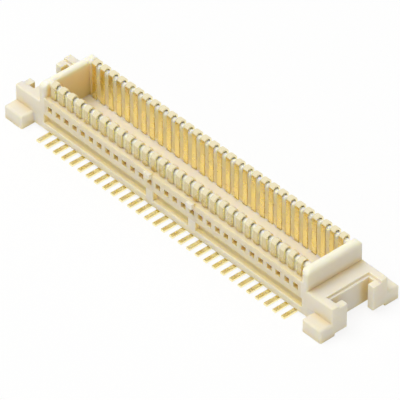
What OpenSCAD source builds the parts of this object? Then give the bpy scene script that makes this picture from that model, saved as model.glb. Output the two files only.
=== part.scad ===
// Board to board connector: a moulded housing with two rows of formed contacts.
// X runs along the rows, Y across them and Z up from the board. The origin is
// on the board's surface, under the middle of the housing.

/* [Contacts] */
// Contact places along each row
places = 30; // [12:1:50]
// Distance from one contact to the next
pitch = 0.6; // [0.5:0.02:0.8]
// Width of a contact strip
strip_w = 0.3; // [0.26:0.01:0.42]
// Thickness of the sheet that the contacts are formed from
sheet_t = 0.12; // [0.08:0.01:0.14]
// Clear width between the faces of the two contact rows
row_gap = 2.14; // [1.8:0.02:2.3]
// Height of the crown of a contact above the board
crown_h = 3; // [2.8:0.01:3.3]
// Width of a solder tail
tail_w = 0.24; // [0.12:0.01:0.28]
// Distance from the middle of the housing to the tip of a solder tail
tail_reach = 2.55; // [2.2:0.05:3.2]
// Length over which the strip narrows to the tail
neck_l = 0.15; // [0.05:0.01:0.3]
// Inside radius of the bend between strip and tail
foot_r = 0.1; // [0.06:0.01:0.14]

/* [Long walls] */
// Width of the housing's body
body_w = 3.54; // [3.4:0.02:4]
// Height of the underside above the board
standoff_h = 0.15; // [0.13:0.01:0.24]
// Height of the cavity floor above the board
floor_h = 0.8; // [0.5:0.02:1.3]
// Height of the ledge under the outer legs
ledge_h = 2.06; // [1.9:0.01:2.4]
// Height of the long walls and the end walls
wall_h = 2.86; // [2.75:0.01:3.1]
// Thickness of the long walls above the ledge
upper_wall_t = 0.32; // [0.28:0.01:0.38]
// Height of the lower edge of the side groove
groove_z = 0.54; // [0.4:0.01:0.7]
// Height of the side groove
groove_h = 0.52; // [0.2:0.01:0.6]
// Depth of the side groove
groove_d = 0.3; // [0.1:0.01:0.4]
// Distance that the side groove runs past the end walls' inner faces
groove_run = 0.1; // [0.02:0.01:0.3]
// Width of the ribs that divide the side groove
rib_w = 0.5; // [0.2:0.02:0.8]
// Distance of the ribs from the middle
rib_x = 1.5; // [0.6:0.1:3]
// Height of the windows behind the contacts
window_h = 0.3; // [0.1:0.01:0.34]
// Height of the middle of the windows
window_z = 1.54; // [1.4:0.01:1.6]
// Width of the keys over the ribs
key_w = 0.4; // [0.2:0.02:0.5]
// Height of the keys
key_h = 0.3; // [0.1:0.01:0.34]
// How far the keys stand out from the body
key_out = 0.2; // [0.05:0.01:0.3]
// How far the keys rise over the ledge
key_rise = 0.09; // [0.02:0.01:0.2]

/* [Ends] */
// Distance from the last contact to the end wall's inner face
end_margin = 0.35; // [0.32:0.01:0.6]
// Thickness of the end walls
end_wall_t = 0.46; // [0.44:0.01:0.8]
// Radius of the end walls' outer upright corners
corner_r = 0.12; // [0.06:0.01:0.2]
// Radius of the end walls' inner upright corners
heel_r = 0.24; // [0.06:0.01:0.3]
// Radius of the end walls' outer top edge
crest_r = 0.26; // [0.05:0.01:0.28]
// Radius of the end walls' inner top edge
lip_r = 0.16; // [0.04:0.01:0.2]
// Radius of the end walls' top corners
shoulder_r = 0.4; // [0.1:0.01:0.6]
// Length of the platforms beyond the end walls
platform_l = 1.73; // [1.6:0.01:2.2]
// Height of the platforms
platform_h = 1.68; // [1.3:0.01:1.8]
// Radius of the platforms' edges
platform_r = 0.08; // [0.05:0.01:0.2]
// Length of the ears along the rows
ear_l = 1.3; // [0.8:0.02:1.5]
// How far the ears stand out from the body
ear_out = 0.73; // [0.4:0.01:1]
// Height of the ears
ear_h = 0.77; // [0.4:0.01:1]
// Radius of the ears' edges
ear_r = 0.12; // [0.05:0.01:0.2]

/* [Notches] */
// Width of the shallow pocket round a notch
pocket_w = 2.68; // [2.5:0.02:3]
// Length of the shallow pocket
pocket_l = 0.87; // [0.82:0.01:1.1]
// Depth of the shallow pocket
pocket_d = 0.13; // [0.05:0.01:0.3]
// Width of the notch behind the hooks
notch_w = 2.4; // [2:0.02:2.5]
// Length of the notch
notch_l = 0.73; // [0.5:0.01:0.84]
// Width of the notch's mouth between the hooks
mouth_w = 1.62; // [1:0.02:1.9]
// Thickness of the hooks along the rows
hook_t = 0.39; // [0.24:0.01:0.46]
// Radius of the hooks' tips
hook_r = 0.06; // [0.03:0.01:0.12]

/* [Fits] */
// Play between a contact and the sides of its slot
slot_play = 0.01; // [0.005:0.005:0.03]
// How far the contact faces stand out of the inner wall
strip_proud = 0.02; // [0.005:0.005:0.05]
// Play between the outer leg and the wall behind it
leg_play = 0.02; // [0.005:0.005:0.05]
// Play between the end of the outer leg and the ledge
leg_end_play = 0.04; // [0.01:0.01:0.1]
// Play between the bends of a contact and the plastic inside them
bend_play = 0.03; // [0.01:0.01:0.06]

/* [Hidden] */
$fn = 48;
// How far a cut runs past the surface that it opens
over = 0.5;
// How far a piece runs into the body that it stands on
root = 0.1;

// Places across the rows, from the middle outward
strip_y = row_gap / 2;
inner_y = strip_y + strip_proud;
slot_y = strip_y + sheet_t;
upper_y = inner_y + upper_wall_t;
leg_y = upper_y + leg_play + sheet_t;
bend_y = (leg_y + strip_y) / 2;
bend_r = (leg_y - strip_y) / 2;
foot_y = slot_y + foot_r;
body_y = body_w / 2;

// Places along the rows, from the middle outward
row_x = (places - 1) * pitch / 2;
end_in = row_x + end_margin;
end_out = end_in + end_wall_t;
tip_x = end_out + platform_l;

// Half the width of a contact's slot
slot_x = strip_w / 2 + slot_play;

// Heights above the board
foot_z = sheet_t + foot_r;
bend_z = crown_h - bend_r;
core_h = bend_z - bend_play;

function place_x(i) = (i - (places - 1) / 2) * pitch;
function pair_name(i) = str("contact_pair_", i < 9 ? "0" : "", i + 1);

// Draws its children at both ends
module both_ends() {
    children();
    mirror([1, 0, 0]) children();
}

// Draws its children on both sides
module both_sides() {
    children();
    mirror([0, 1, 0]) children();
}

// Extrudes an outline drawn across the rows and upward, from x0 to x1
module along_rows(x0, x1) {
    translate([x0, 0, 0])
        rotate([90, 0, 90])
            linear_extrude(x1 - x0)
                children();
}

// Extrudes an outline drawn along the rows and upward, from y0 to y1
module across_rows(y0, y1) {
    translate([0, y1, 0])
        rotate([90, 0, 0])
            linear_extrude(y1 - y0)
                children();
}

// Extrudes an outline drawn on the board, from z0 to z1
module upward(z0, z1) {
    translate([0, 0, z0])
        linear_extrude(z1 - z0)
            children();
}

// A rectangle from one corner to the opposite one
module rect(low, high) {
    translate(low)
        square(high - low);
}

// What a corner of radius r loses, the sharp corner at p and the rectangle lying on side s of it
module corner_waste(p, s, r) {
    translate(p)
        difference() {
            translate([min(0, s.x * r), min(0, s.y * r)])
                square(r);
            translate(s * r)
                circle(r);
        }
}

// A rectangle with its two outer corners round, the outer side at the larger first coordinate
module outer_round_rect(low, high, r) {
    difference() {
        rect(low, high);
        corner_waste(high, [-1, -1], r);
        corner_waste([high.x, low.y], [-1, 1], r);
    }
}

// A rectangle with its two upper corners round
module top_round_rect(low, high, r_left, r_right) {
    difference() {
        rect(low, high);
        corner_waste(high, [-1, -1], r_right);
        corner_waste([low.x, high.y], [1, -1], r_left);
    }
}

// The formed strip across the wall: inner face, crown, outer leg and foot
module contact_outline() {
    rect([strip_y, foot_z], [slot_y, bend_z]);
    rect([leg_y - sheet_t, ledge_h + leg_end_play], [leg_y, bend_z]);
    translate([bend_y, bend_z])
        difference() {
            circle(bend_r);
            circle(bend_r - sheet_t);
            rect([-bend_r, -bend_r], [bend_r, 0]);
        }
    translate([foot_y, foot_z])
        intersection() {
            difference() {
                circle(foot_z);
                circle(foot_r);
            }
            rect([-foot_z, -foot_z], [0, 0]);
        }
}

// The flat tail that is soldered to the board, narrowing from the strip
module tail_outline() {
    polygon([
        [-strip_w / 2, foot_y],
        [strip_w / 2, foot_y],
        [tail_w / 2, foot_y + neck_l],
        [tail_w / 2, tail_reach],
        [-tail_w / 2, tail_reach],
        [-tail_w / 2, foot_y + neck_l],
    ]);
}

module contact() {
    along_rows(-strip_w / 2, strip_w / 2)
        contact_outline();
    upward(0, sheet_t)
        tail_outline();
}

// The two facing contacts at one place along the rows
module contact_pair(i) {
    color([0.86, 0.72, 0.36])
        translate([place_x(i), 0, 0])
            both_sides()
                contact();
}

// The lower body with the floor and the thick lower walls
module trunk() {
    trunk_x = end_out - corner_r;
    difference() {
        upward(standoff_h, ledge_h)
            rect([-trunk_x, -body_y], [trunk_x, body_y]);
        upward(floor_h, ledge_h + over)
            rect([-end_in, -inner_y], [end_in, inner_y]);
    }
}

// One thin long wall above the ledge, with a round top
module upper_wall() {
    wall_r = upper_wall_t / 2;
    along_rows(-end_in - lip_r, end_in + lip_r) {
        rect([inner_y, floor_h], [upper_y, wall_h - wall_r]);
        translate([inner_y + wall_r, wall_h - wall_r])
            circle(wall_r);
    }
}

// One end wall with round upright corners and a round crest
module end_wall() {
    intersection() {
        upward(standoff_h, wall_h)
            difference() {
                outer_round_rect([end_in, -body_y], [end_out, body_y], corner_r);
                corner_waste([end_in, body_y], [1, -1], heel_r);
                corner_waste([end_in, -body_y], [1, 1], heel_r);
            }
        across_rows(-body_y, body_y)
            top_round_rect([end_in, standoff_h], [end_out, wall_h], lip_r, crest_r);
        along_rows(end_in, end_out)
            top_round_rect([-body_y, standoff_h], [body_y, wall_h], shoulder_r, shoulder_r);
    }
}

// One end platform with round edges, before its notch is cut
module platform() {
    intersection() {
        upward(standoff_h, platform_h)
            outer_round_rect([end_in, -body_y], [tip_x, body_y], platform_r);
        across_rows(-body_y, body_y)
            difference() {
                rect([end_in, standoff_h], [tip_x, platform_h]);
                corner_waste([tip_x, platform_h], [-1, -1], platform_r);
            }
        along_rows(end_in, tip_x)
            top_round_rect([-body_y, standoff_h], [body_y, platform_h], platform_r, platform_r);
    }
}

// One ear that stands on the board beside a platform
module ear() {
    ear_in = body_y - platform_r - root;
    ear_end = body_y + ear_out;
    intersection() {
        upward(0, ear_h)
            difference() {
                rect([tip_x - ear_l, ear_in], [tip_x, ear_end]);
                corner_waste([tip_x, ear_end], [-1, -1], ear_r);
                corner_waste([tip_x - ear_l, ear_end], [1, -1], ear_r);
            }
        across_rows(ear_in, ear_end)
            top_round_rect([tip_x - ear_l, 0], [tip_x, ear_h], ear_r, ear_r);
        along_rows(tip_x - ear_l, tip_x)
            difference() {
                rect([ear_in, 0], [ear_end, ear_h]);
                corner_waste([ear_end, ear_h], [-1, -1], ear_r);
            }
    }
}

// One key that stands out of the body over a rib
module key() {
    key_top = ledge_h + key_rise;
    upward(key_top - key_h, key_top)
        rect([rib_x - key_w / 2, body_y - root], [rib_x + key_w / 2, body_y + key_out]);
}

// The long groove in one side of the body, divided by the ribs
module side_groove() {
    groove_x = end_in + groove_run;
    upward(groove_z, groove_z + groove_h)
        difference() {
            rect([-groove_x, body_y - groove_d], [groove_x, body_y + over]);
            for (x = [-rib_x, rib_x])
                rect([x - rib_w / 2, 0], [x + rib_w / 2, body_y + 2 * over]);
        }
}

// The window in one side of the body, through to the back of a contact strip and as wide as its slot
module window() {
    upward(window_z - window_h / 2, window_z + window_h / 2)
        rect([-slot_x, inner_y], [slot_x, body_y + over]);
}

// The slot that a contact strip sits in, open at the top for its crown
module contact_slot() {
    face_y = strip_y - slot_play;
    along_rows(-slot_x, slot_x) {
        rect([face_y, -over], [slot_y, wall_h + over]);
        rect([face_y, core_h], [upper_y + over, wall_h + over]);
    }
}

// The channel in the underside that clears one row of feet
module foot_channel() {
    channel_x = row_x + pitch / 2;
    along_rows(-channel_x, channel_x)
        rect([strip_y - slot_play, -over], [foot_y + bend_play, foot_z + bend_play]);
}

// The notch in one platform: a shallow pocket, then an opening that two hooks narrow
module notch() {
    hook_x = tip_x - hook_t;
    upward(platform_h - pocket_d, platform_h + over)
        rect([tip_x - pocket_l, -pocket_w / 2], [tip_x + over, pocket_w / 2]);
    upward(-over, platform_h + over)
        difference() {
            rect([tip_x - notch_l, -notch_w / 2], [tip_x + over, notch_w / 2]);
            both_sides()
                difference() {
                    rect([hook_x, mouth_w / 2], [tip_x, notch_w / 2 + over]);
                    corner_waste([hook_x, mouth_w / 2], [1, 1], hook_r);
                    corner_waste([tip_x, mouth_w / 2], [-1, 1], hook_r);
                }
        }
}

module housing() {
    color([0.92, 0.89, 0.82])
        difference() {
            union() {
                trunk();
                both_sides()
                    upper_wall();
                both_ends() {
                    end_wall();
                    platform();
                    both_sides() {
                        ear();
                        key();
                    }
                }
            }
            both_ends()
                notch();
            both_sides() {
                side_groove();
                foot_channel();
                for (i = [0 : places - 1])
                    translate([place_x(i), 0, 0]) {
                        window();
                        contact_slot();
                    }
            }
        }
}

housing();
for (i = [0 : places - 1])
    contact_pair(i);
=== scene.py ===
import math

import bmesh
import bpy
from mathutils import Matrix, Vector


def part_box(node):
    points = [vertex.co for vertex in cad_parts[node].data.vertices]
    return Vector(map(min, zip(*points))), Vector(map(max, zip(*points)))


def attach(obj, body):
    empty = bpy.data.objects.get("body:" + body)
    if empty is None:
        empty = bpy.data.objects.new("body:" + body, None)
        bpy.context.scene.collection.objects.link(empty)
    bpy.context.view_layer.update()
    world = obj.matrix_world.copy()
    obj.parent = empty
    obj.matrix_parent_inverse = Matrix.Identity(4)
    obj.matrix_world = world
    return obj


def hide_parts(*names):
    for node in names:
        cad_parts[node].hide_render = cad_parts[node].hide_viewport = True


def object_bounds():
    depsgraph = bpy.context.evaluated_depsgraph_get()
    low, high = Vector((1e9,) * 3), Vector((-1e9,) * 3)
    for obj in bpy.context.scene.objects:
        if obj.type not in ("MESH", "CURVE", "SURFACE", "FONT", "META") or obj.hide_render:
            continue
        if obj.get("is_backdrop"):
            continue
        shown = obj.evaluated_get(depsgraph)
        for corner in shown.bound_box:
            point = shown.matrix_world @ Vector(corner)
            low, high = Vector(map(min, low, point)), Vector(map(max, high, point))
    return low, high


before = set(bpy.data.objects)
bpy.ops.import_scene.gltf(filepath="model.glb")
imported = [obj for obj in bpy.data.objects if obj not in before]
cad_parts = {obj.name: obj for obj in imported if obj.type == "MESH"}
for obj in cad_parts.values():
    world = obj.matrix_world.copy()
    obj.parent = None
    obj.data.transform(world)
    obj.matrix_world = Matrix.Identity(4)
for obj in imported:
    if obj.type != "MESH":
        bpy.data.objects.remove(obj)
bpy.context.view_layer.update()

# Housing
# One ivory moulding in glass filled liquid crystal polymer, with floor, walls, platforms and ears in one.
# Edges leave the mould slightly round, so it is a copy of the solid with its outer edges rounded, apart
# from those under the contacts' crowns. It is worked in millimetres and brought to metres at the end.
MM = 0.001
SAME_POINT = 0.0005
DOUBLED_POINT = 0.00001
SAME_PLANE = math.radians(0.5)
SHARP = math.radians(40)
FACING = 0.5
MOULD_EDGE = 0.035
EDGE_STEPS = 2
PITCH = 0.6
# Where the moulding steps: along the row and across it from the middle, and up from the board
END_WALL = (9.05, 9.51)
EAR_START = 9.94
NOTCH_STEPS = (10.37, 10.51, 10.85)
NOTCH_SIDES = (0.81, 1.2, 1.34)
UPPER_WALL_Y = 1.45
WALL_LEVELS = (0.54, 0.8, 1.06, 1.39, 1.69)
CROWN_START = 2.6
pair_nodes = sorted(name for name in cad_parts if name.startswith("contact_pair_"))
row_end = PITCH * len(pair_nodes) / 2


def resize(piece, factor):
    """Scales the active piece's mesh, from metres to millimetres or back."""
    piece.scale = (factor,) * 3
    bpy.ops.object.transform_apply(location=False, rotation=False, scale=True)


def finish_with(piece, name, kind, **settings):
    """Adds a modifier with its settings to the active piece and applies it."""
    added = piece.modifiers.new(name, kind)
    for setting, value in settings.items():
        setattr(added, setting, value)
    bpy.ops.object.modifier_apply(modifier=added.name)


bpy.ops.object.select_all(action="DESELECT")
housing = bpy.data.objects.new("moulded_housing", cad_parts["housing"].data.copy())
bpy.context.collection.objects.link(housing)
bpy.context.view_layer.objects.active = housing
housing.select_set(True)
resize(housing, 1 / MM)
bpy.ops.mesh.customdata_custom_splitnormals_clear()
bpy.ops.object.mode_set(mode="EDIT")
bpy.ops.mesh.select_all(action="SELECT")
bpy.ops.mesh.remove_doubles(threshold=SAME_POINT)
# The flat faces are cut into panels between the contacts and along the steps, so that they stay flat
row_cuts = [row_end - PITCH * i for i in range(len(pair_nodes) + 1)]
end_cuts = [x * side for x in (*END_WALL, EAR_START, *NOTCH_STEPS) for side in (1, -1)]
side_cuts = [y * side for y in NOTCH_SIDES for side in (1, -1)]
cuts = (row_cuts + end_cuts, side_cuts, WALL_LEVELS)
for axis, levels in enumerate(cuts):
    normal = [float(axis == i) for i in range(3)]
    for level in levels:
        bpy.ops.mesh.select_all(action="SELECT")
        point = [level * part for part in normal]
        bpy.ops.mesh.bisect(plane_co=point, plane_no=normal, threshold=SAME_POINT)
# Each cut is marked as a seam where it crosses a face, and the other edges within flat faces are dissolved
shape = bmesh.from_edit_mesh(housing.data)
for edge in shape.edges:
    start, end = (vert.co for vert in edge.verts)
    for axis, levels in enumerate(cuts):
        level_edge = abs(start[axis] - end[axis]) < SAME_POINT
        on_cut = min(abs(start[axis] - level) for level in levels) < SAME_POINT
        if level_edge and on_cut and all(abs(face.normal[axis]) < FACING for face in edge.link_faces):
            edge.seam = True
bmesh.update_edit_mesh(housing.data)
bpy.ops.mesh.select_all(action="SELECT")
bpy.ops.mesh.dissolve_limited(angle_limit=SAME_PLANE, delimit={"SEAM"})
shape = bmesh.from_edit_mesh(housing.data)
weight = shape.edges.layers.float.new("bevel_weight_edge")
for edge in shape.edges:
    middle = (edge.verts[0].co + edge.verts[1].co) / 2
    under_crown = abs(middle.x) < END_WALL[0] and abs(middle.y) < UPPER_WALL_Y and middle.z > CROWN_START
    edge[weight] = float(edge.calc_face_angle_signed(0) > SHARP and not under_crown)
bmesh.update_edit_mesh(housing.data)
bpy.ops.object.mode_set(mode="OBJECT")
bpy.ops.object.shade_smooth()
finish_with(
    housing,
    "moulded edges",
    "BEVEL",
    width=MOULD_EDGE,
    segments=EDGE_STEPS,
    limit_method="WEIGHT",
    use_clamp_overlap=False,
)
bpy.ops.object.mode_set(mode="EDIT")
bpy.ops.mesh.select_all(action="SELECT")
bpy.ops.mesh.remove_doubles(threshold=DOUBLED_POINT)
bpy.ops.object.mode_set(mode="OBJECT")
finish_with(housing, "flat faces", "WEIGHTED_NORMAL")
resize(housing, MM)


def linear(code):
    """An sRGB hex colour as linear red, green, blue and alpha."""
    values = [int(code[i : i + 2], 16) / 255 for i in (1, 3, 5)]
    return [v / 12.92 if v <= 0.04045 else ((v + 0.055) / 1.055) ** 2.4 for v in values] + [1]


def bare_material(name):
    """A new material with no shader nodes yet."""
    made = bpy.data.materials.new(name)
    made.use_nodes = True
    made.node_tree.nodes.clear()
    return made


def add_node(tree, kind, inputs=None, **settings):
    """Adds a shader node with its settings, then fills or links its inputs."""
    made = tree.nodes.new(kind)
    for name, value in settings.items():
        setattr(made, name, value)
    for socket, value in (inputs or {}).items():
        if isinstance(value, bpy.types.NodeSocket):
            tree.links.new(value, made.inputs[socket])
        else:
            made.inputs[socket].default_value = value
    return made


def inside(tree, spot, **ranges):
    """One where each named coordinate lies in its range, nought elsewhere. None leaves a range open."""
    mask = 1
    for axis, (low, high) in ranges.items():
        for operation, limit in (("GREATER_THAN", low), ("LESS_THAN", high)):
            if limit is not None:
                test = add_node(tree, "ShaderNodeMath", {0: spot[axis], 1: limit}, operation=operation)
                holds = {0: test.outputs[0], 1: mask}
                mask = add_node(tree, "ShaderNodeMath", holds, operation="MULTIPLY").outputs[0]
    return mask


# Ivory liquid crystal polymer, as moulded: a warm off white that light enters a little way, with a faint
# satin sheen and long pale flow marks where the melt ran along the rows. Painted light is mixed into its
# colour: ochre painted shade in narrow recesses, and painted golden light, for light through the plastic
# and off the contacts, in the cavity, on the upper walls and in the side grooves, with a painted highlight
# on the rims; the cavity floor stays pale. The grain of a spark eroded mould is drawn coarser than real, to
# show.
FLOW_LENGTH = 4 * MM
FLOW_WIDTH = 0.7 * MM
GRAIN = 0.06 * MM
GRAIN_DEPTH = 0.002 * MM
LIGHT_DEPTH = 0.4 * MM
RECESS = 0.6 * MM
RECESS_AIR = (0.35, 0.85)
SATIN_ROUGHNESS = (0.36, 0.5)
# The shares of the painted golden light in the cavity and of the painted highlight on the rims
CAVITY_LIGHT_SHARE = 0.85
RIM_HIGHLIGHT_SHARE = 0.8
# Where the tints end: along the row and across it from the middle, and up from the board
ROW_SPAN = 8.86 * MM
END_FACE = 8.99 * MM
CAVITY_END = 9.07 * MM
GROOVE_END = 9.16 * MM
CAVITY_SIDE = 1.11 * MM
GROOVE_BACK = 1.4 * MM
LEDGE_START = 1.5 * MM
GROOVE_LIP = 1.62 * MM
KEY_START = 1.79 * MM
GROOVE_FLOOR = 0.52 * MM
FLOOR_H = 0.82 * MM
GROOVE_TOP = 1.06 * MM
LEDGE_H = 2.08 * MM
RIM_START = 2.5 * MM
RIM_FULL = 2.8 * MM
WALL_TOP = 2.86 * MM
ivory = bare_material("ivory_liquid_crystal_polymer")
tree = ivory.node_tree
place = add_node(tree, "ShaderNodeTexCoord").outputs["Object"]
both_ways = add_node(tree, "ShaderNodeVectorMath", {0: place}, operation="ABSOLUTE")
spot = add_node(tree, "ShaderNodeSeparateXYZ", {"Vector": both_ways.outputs["Vector"]}).outputs
flow_place = add_node(tree, "ShaderNodeMapping", {
    "Vector": place,
    "Scale": (1 / FLOW_LENGTH, 1 / FLOW_WIDTH, 1 / FLOW_WIDTH),
})
flow = add_node(tree, "ShaderNodeTexNoise", {
    "Vector": flow_place.outputs["Vector"],
    "Scale": 1,
    "Detail": 3,
    "Distortion": 0.8,
})
flow_tint = add_node(tree, "ShaderNodeMix", {
    0: flow.outputs["Fac"],
    6: linear("#E4DBC6"),
    7: linear("#E9E3D5"),
}, data_type="RGBA")

# Painted light in the cavity: a golden glow for light off the contacts, with painted shade that deepens it
# towards the floor and on the end walls, and pale on the floor
depth = add_node(tree, "ShaderNodeMapRange", {
    "Value": spot["Z"],
    "From Min": WALL_TOP,
    "From Max": FLOOR_H,
}).outputs["Result"]
end_wall = inside(tree, spot, X=(END_FACE, None))
end_shade = add_node(tree, "ShaderNodeMath", {0: end_wall, 1: depth}, operation="MULTIPLY").outputs[0]
cavity_light = linear("#FFECBA")
for share, colour in (
    (depth, "#F7DA94"),
    (end_shade, "#DBC67C"),
    (inside(tree, spot, Z=(None, FLOOR_H)), "#EBE5D6"),
):
    mixed = add_node(tree, "ShaderNodeMix", {0: share, 6: cavity_light, 7: linear(colour)}, data_type="RGBA")
    cavity_light = mixed.outputs[2]

# The tints, each over those before it: outer faces, painted shade in recesses, painted golden light in the
# side grooves, on the upper walls and in the cavity, and a painted highlight on the rims
outer_face = inside(tree, spot, X=(None, CAVITY_END), Y=(LEDGE_START, KEY_START), Z=(GROOVE_TOP, None))
# Painted shade: the more shut in a spot is, the more it takes the ochre tint
open_air = add_node(tree, "ShaderNodeAmbientOcclusion", {"Distance": RECESS}, samples=8)
recess_shade = add_node(tree, "ShaderNodeMapRange", {
    "Value": open_air.outputs["AO"],
    "From Min": RECESS_AIR[0],
    "From Max": RECESS_AIR[1],
    "To Min": 1,
    "To Max": 0,
}).outputs["Result"]
# Painted golden light in the side grooves, over their shade
groove_light = inside(
    tree,
    spot,
    X=(None, GROOVE_END),
    Y=(GROOVE_BACK, GROOVE_LIP),
    Z=(GROOVE_FLOOR, GROOVE_TOP),
)
# Painted light on the upper walls, between the outer legs and in the slots
upper_wall_light = inside(tree, spot, X=(None, ROW_SPAN), Y=(None, LEDGE_START), Z=(LEDGE_H, None))
# Painted golden light over the cavity's walls
cavity = inside(tree, spot, X=(None, CAVITY_END), Y=(None, CAVITY_SIDE))
cavity_glow = add_node(tree, "ShaderNodeMath", {0: cavity, 1: CAVITY_LIGHT_SHARE}, operation="MULTIPLY").outputs[0]
# Painted highlight: the wall tops grow paler upwards
rim_highlight = add_node(tree, "ShaderNodeMapRange", {
    "Value": spot["Z"],
    "From Min": RIM_START,
    "From Max": RIM_FULL,
    "To Max": RIM_HIGHLIGHT_SHARE,
}).outputs["Result"]
tint = flow_tint.outputs[2]
for share, colour in (
    (outer_face, linear("#E0D4B8")),
    (recess_shade, linear("#EAD28E")),
    (groove_light, linear("#FCE7B0")),
    (upper_wall_light, linear("#FEEFC8")),
    (cavity_glow, cavity_light),
    (rim_highlight, linear("#FCF6E2")),
):
    mixed = add_node(tree, "ShaderNodeMix", {0: share, 6: tint, 7: colour}, data_type="RGBA")
    tint = mixed.outputs[2]

grain = add_node(tree, "ShaderNodeTexNoise", {"Vector": place, "Scale": 1 / GRAIN, "Detail": 2})
satin = add_node(tree, "ShaderNodeMapRange", {
    "Value": grain.outputs["Fac"],
    "To Min": SATIN_ROUGHNESS[0],
    "To Max": SATIN_ROUGHNESS[1],
})
relief = add_node(tree, "ShaderNodeBump", {
    "Height": grain.outputs["Fac"],
    "Distance": GRAIN_DEPTH,
    "Strength": 0.5,
})
plastic = add_node(tree, "ShaderNodeBsdfPrincipled", {
    "Base Color": tint,
    "Roughness": satin.outputs["Result"],
    "Normal": relief.outputs["Normal"],
    "IOR": 1.6,
    "Subsurface Weight": 0.8,
    "Subsurface Radius": (1.0, 0.9, 0.35),
    "Subsurface Scale": LIGHT_DEPTH,
    "Sheen Weight": 0.3,
    "Sheen Roughness": 0.4,
})
add_node(tree, "ShaderNodeOutputMaterial", {"Surface": plastic.outputs["BSDF"]})
housing.data.materials.clear()
housing.data.materials.append(ivory)
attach(housing, "root")
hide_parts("housing")

# Contacts
# Strips of thin copper alloy sheet, stamped and bent in a press and gold plated. Each stands in its slot in
# the wall, goes over the wall in a round crown, ends in a short outer leg and has a flat tail on the board.
# Two facing ones are modelled once, in millimetres, and copied along the row.
STRIP_W = 0.3
SHEET = 0.12
SHEET_EDGE = 0.02
STRIP_Y = 1.07
LEG_Y = 1.55
LEG_END_H = 2.1
CROWN_H = 3.0
CROWN_STEPS = 14
FOOT_R = 0.1
FOOT_STEPS = 6
NECK = 0.15
TAIL_W = 0.24
TAIL_REACH = 2.55
bend_r = (LEG_Y - STRIP_Y) / 2
bend_y = STRIP_Y + bend_r
bend_h = CROWN_H - bend_r
foot_h = SHEET + FOOT_R
foot_y = STRIP_Y + foot_h

bpy.ops.object.select_all(action="DESELECT")
bpy.ops.mesh.primitive_plane_add(size=1, location=(0, STRIP_Y + SHEET / 2, foot_h))
contact = bpy.context.object
contact.scale = (STRIP_W, SHEET, 1)
bpy.ops.object.transform_apply(location=True, rotation=True, scale=True)
bpy.ops.object.mode_set(mode="EDIT")
bpy.ops.mesh.select_mode(type="FACE")
bpy.ops.mesh.select_all(action="SELECT")
# Up the strip, over the crown and down the leg, then from the strip's foot out along the tail
bpy.ops.mesh.extrude_region_move(TRANSFORM_OT_translate={"value": (0, 0, bend_h - foot_h)})
bpy.ops.mesh.spin(steps=CROWN_STEPS, angle=math.pi, center=(0, bend_y, bend_h), axis=(1, 0, 0))
bpy.ops.mesh.extrude_region_move(TRANSFORM_OT_translate={"value": (0, 0, LEG_END_H - bend_h)})
bpy.ops.mesh.select_all(action="DESELECT")
shape = bmesh.from_edit_mesh(contact.data)
for face in shape.faces:
    at_foot = abs(face.calc_center_median().z - foot_h) < SAME_POINT
    face.select_set(at_foot and abs(face.normal.z) > FACING)
bmesh.update_edit_mesh(contact.data)
bpy.ops.mesh.spin(steps=FOOT_STEPS, angle=math.pi / 2, center=(0, foot_y, foot_h), axis=(-1, 0, 0))
bpy.ops.mesh.extrude_region_move(TRANSFORM_OT_translate={"value": (0, NECK, 0)})
bpy.ops.transform.resize(value=(TAIL_W / STRIP_W, 1, 1), center_override=(0, foot_y + NECK, 0))
bpy.ops.mesh.extrude_region_move(TRANSFORM_OT_translate={"value": (0, TAIL_REACH - foot_y - NECK, 0)})
bpy.ops.mesh.select_all(action="SELECT")
bpy.ops.mesh.remove_doubles(threshold=SAME_POINT)
bpy.ops.mesh.normals_make_consistent(inside=False)
bpy.ops.object.mode_set(mode="OBJECT")
bpy.ops.object.shade_smooth()
finish_with(
    contact,
    "stamped edges",
    "BEVEL",
    width=SHEET_EDGE,
    segments=EDGE_STEPS,
    limit_method="ANGLE",
    angle_limit=SHARP,
)
finish_with(contact, "flat faces", "WEIGHTED_NORMAL")
finish_with(contact, "facing row", "MIRROR", use_axis=(False, True, False))
resize(contact, MM)

# Gold plating over rolled sheet: bright and mirror-like but for soft patches and fine rolling lines along
# the strip, which are drawn coarser than real, to show. The gold is thick and deep in colour on the inner
# strips and a pale flash on the tails. A painted highlight makes it paler over the crowns, and painted
# shade makes it darker and duller on the outer legs, for the darker surroundings they reflect.
ROLLING_LINE = 0.03 * MM
ROLLING_RUN = 1.2 * MM
ROLLING_DEPTH = 0.0006 * MM
PATCH = 0.5 * MM
GOLD_ROUGHNESS = (0.2, 0.36)
STRIP_BACK = (STRIP_Y + SHEET) * MM
LEG_FACE = (LEG_Y - SHEET_EDGE) * MM
LEG_FOOT = (LEG_END_H - SHEET) * MM
CROWN_FADE = (bend_h + SHEET_EDGE) * MM
CROWN_FULL = (bend_h + SHEET) * MM
gold = bare_material("gold_plated_sheet")
tree = gold.node_tree
place = add_node(tree, "ShaderNodeTexCoord").outputs["Object"]
both_ways = add_node(tree, "ShaderNodeVectorMath", {0: place}, operation="ABSOLUTE")
spot = add_node(tree, "ShaderNodeSeparateXYZ", {"Vector": both_ways.outputs["Vector"]}).outputs
line_place = add_node(tree, "ShaderNodeMapping", {
    "Vector": place,
    "Scale": (1 / ROLLING_LINE, 1 / ROLLING_RUN, 1 / ROLLING_RUN),
})
lines = add_node(tree, "ShaderNodeTexNoise", {
    "Vector": line_place.outputs["Vector"],
    "Scale": 1,
    "Detail": 2,
})
patches = add_node(tree, "ShaderNodeTexNoise", {"Vector": place, "Scale": 1 / PATCH, "Detail": 2})
thick_gold, flash_gold = (
    add_node(tree, "ShaderNodeMix", {
        0: patches.outputs["Fac"],
        6: linear(deeper),
        7: linear(paler),
    }, data_type="RGBA").outputs[2]
    for deeper, paler in (("#FFE99E", "#FFEEAA"), ("#FFF2BC", "#FFF7C8"))
)
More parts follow.
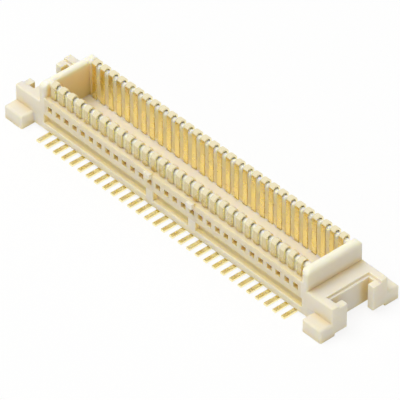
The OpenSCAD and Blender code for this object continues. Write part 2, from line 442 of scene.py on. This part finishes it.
strip = inside(tree, spot, Y=(None, STRIP_BACK))
# Painted shade: the outer legs get a darker, duller gold
leg_shade = inside(tree, spot, Y=(LEG_FACE, None), Z=(LEG_FOOT, None))
# Painted highlight: the crowns get a paler gold
crown_highlight = add_node(tree, "ShaderNodeMapRange", {
    "Value": spot["Z"],
    "From Min": CROWN_FADE,
    "From Max": CROWN_FULL,
}).outputs["Result"]
plating = flash_gold
for share, colour in ((strip, thick_gold), (leg_shade, linear("#D6C79C")), (crown_highlight, linear("#F0E5C1"))):
    mixed = add_node(tree, "ShaderNodeMix", {0: share, 6: plating, 7: colour}, data_type="RGBA")
    plating = mixed.outputs[2]
polish = add_node(tree, "ShaderNodeMapRange", {
    "Value": patches.outputs["Fac"],
    "To Min": GOLD_ROUGHNESS[0],
    "To Max": GOLD_ROUGHNESS[1],
})
rolled = add_node(tree, "ShaderNodeBump", {
    "Height": lines.outputs["Fac"],
    "Distance": ROLLING_DEPTH,
    "Strength": 0.5,
})
metal = add_node(tree, "ShaderNodeBsdfPrincipled", {
    "Base Color": plating,
    "Metallic": 1,
    "Roughness": polish.outputs["Result"],
    "Normal": rolled.outputs["Normal"],
})
add_node(tree, "ShaderNodeOutputMaterial", {"Surface": metal.outputs["BSDF"]})
contact.data.materials.append(gold)

for node in pair_nodes:
    low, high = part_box(node)
    bpy.ops.object.select_all(action="DESELECT")
    contact.select_set(True)
    bpy.context.view_layer.objects.active = contact
    bpy.ops.object.duplicate()
    pair = bpy.context.object
    pair.name = node.replace("contact_pair", "gold_contacts")
    pair.location.x = (low.x + high.x) / 2
    bpy.ops.object.transform_apply(location=True, rotation=False, scale=False)
    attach(pair, "root")
    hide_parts(node)
bpy.data.objects.remove(contact)

# Studio
# A white table top in a white room. One soft light stands high at the front left, and three weaker ones
# at the front, the right and the back. The camera and shiny surfaces see the table and the room as white.
TABLE_SIZE = 2.0
TABLE_DROP = 0.005 * MM
TABLE_WHITE = 0.85
ROOM_LIGHT = 0.05
LAMP_SIZE = 0.32
LAMP_DISTANCE = 0.4


def seeing_rays(tree):
    """One for the rays that see the backdrop: from the camera, off shiny pieces and through clear ones."""
    path = add_node(tree, "ShaderNodeLightPath").outputs
    seeing = path["Is Camera Ray"]
    for kind in ("Is Glossy Ray", "Is Transmission Ray"):
        either = add_node(tree, "ShaderNodeMath", {0: seeing, 1: path[kind]}, operation="MAXIMUM")
        seeing = either.outputs[0]
    return seeing


bpy.ops.object.select_all(action="DESELECT")
bpy.ops.mesh.primitive_plane_add(size=TABLE_SIZE, location=(0, 0, -TABLE_DROP))
table = bpy.context.object
table.name = "table_top"
# White laminate, matt: it keeps a trace of the part's soft shadow and otherwise looks white
laminate = bare_material("white_table")
tree = laminate.node_tree
share = add_node(tree, "ShaderNodeMath", {0: seeing_rays(tree), 1: TABLE_WHITE}, operation="MULTIPLY")
matt = add_node(tree, "ShaderNodeBsdfDiffuse", {"Color": linear("#F2F2F0")})
white = add_node(tree, "ShaderNodeEmission", {"Color": linear("#FFFFFF"), "Strength": 1})
top = add_node(tree, "ShaderNodeMixShader", {0: share.outputs[0], 1: matt.outputs[0], 2: white.outputs[0]})
add_node(tree, "ShaderNodeOutputMaterial", {"Surface": top.outputs[0]})
table.data.materials.append(laminate)
table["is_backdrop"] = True

world = bpy.data.worlds.new("white_room")
bpy.context.scene.world = world
world.use_nodes = True
tree = world.node_tree
tree.nodes.clear()
level = add_node(tree, "ShaderNodeMapRange", {
    "Value": seeing_rays(tree),
    "To Min": ROOM_LIGHT,
    "To Max": 1,
})
room = add_node(tree, "ShaderNodeBackground", {
    "Color": linear("#FFFFFF"),
    "Strength": level.outputs["Result"],
})
add_node(tree, "ShaderNodeOutputWorld", {"Surface": room.outputs[0]})


def direction(azimuth, elevation):
    """The direction from the part to a place round it, with azimuth 0 at its front and 90 at its right."""
    a, e = math.radians(azimuth), math.radians(elevation)
    return Vector((math.sin(a) * math.cos(e), -math.cos(a) * math.cos(e), math.sin(e)))


def soft_light(name, azimuth, elevation, power):
    """A square soft light at a place round the part, facing it and left out of reflections."""
    toward = direction(azimuth, elevation)
    lamp = bpy.data.objects.new(name, bpy.data.lights.new(name, "AREA"))
    lamp.data.size = LAMP_SIZE
    lamp.data.energy = power
    lamp.location = toward * LAMP_DISTANCE
    lamp.rotation_euler = toward.to_track_quat("Z", "Y").to_euler()
    lamp.visible_glossy = False
    bpy.context.collection.objects.link(lamp)


soft_light("top_light", azimuth=312, elevation=68, power=1.45)
soft_light("front_fill", azimuth=30, elevation=20, power=0.42)
soft_light("right_fill", azimuth=95, elevation=35, power=0.32)
soft_light("back_light", azimuth=210, elevation=45, power=0.4)

# Camera
# A long lens at the front right, looking down on the part as the photograph does. The focal length and the
# middle of the view are in pixels of a picture 400 pixels wide.
IMAGE = 400
FOCAL = 5912
MIDDLE = (198.07, 205.78)
AZIMUTH = 48.07
ELEVATION = 39.77
DISTANCE = 280.7 * MM
NEAREST = 10 * MM
toward = direction(AZIMUTH, ELEVATION)
camera = bpy.data.objects.new("camera", bpy.data.cameras.new("camera"))
camera.location = toward * DISTANCE
camera.rotation_euler = toward.to_track_quat("Z", "Y").to_euler()
camera.data.lens = camera.data.sensor_width * FOCAL / IMAGE
camera.data.shift_x = (IMAGE / 2 - MIDDLE[0]) / IMAGE
camera.data.shift_y = (MIDDLE[1] - IMAGE / 2) / IMAGE
camera.data.clip_start = NEAREST
bpy.context.collection.objects.link(camera)
bpy.context.scene.camera = camera
bpy.context.scene.view_settings.view_transform = "Standard"

low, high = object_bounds()
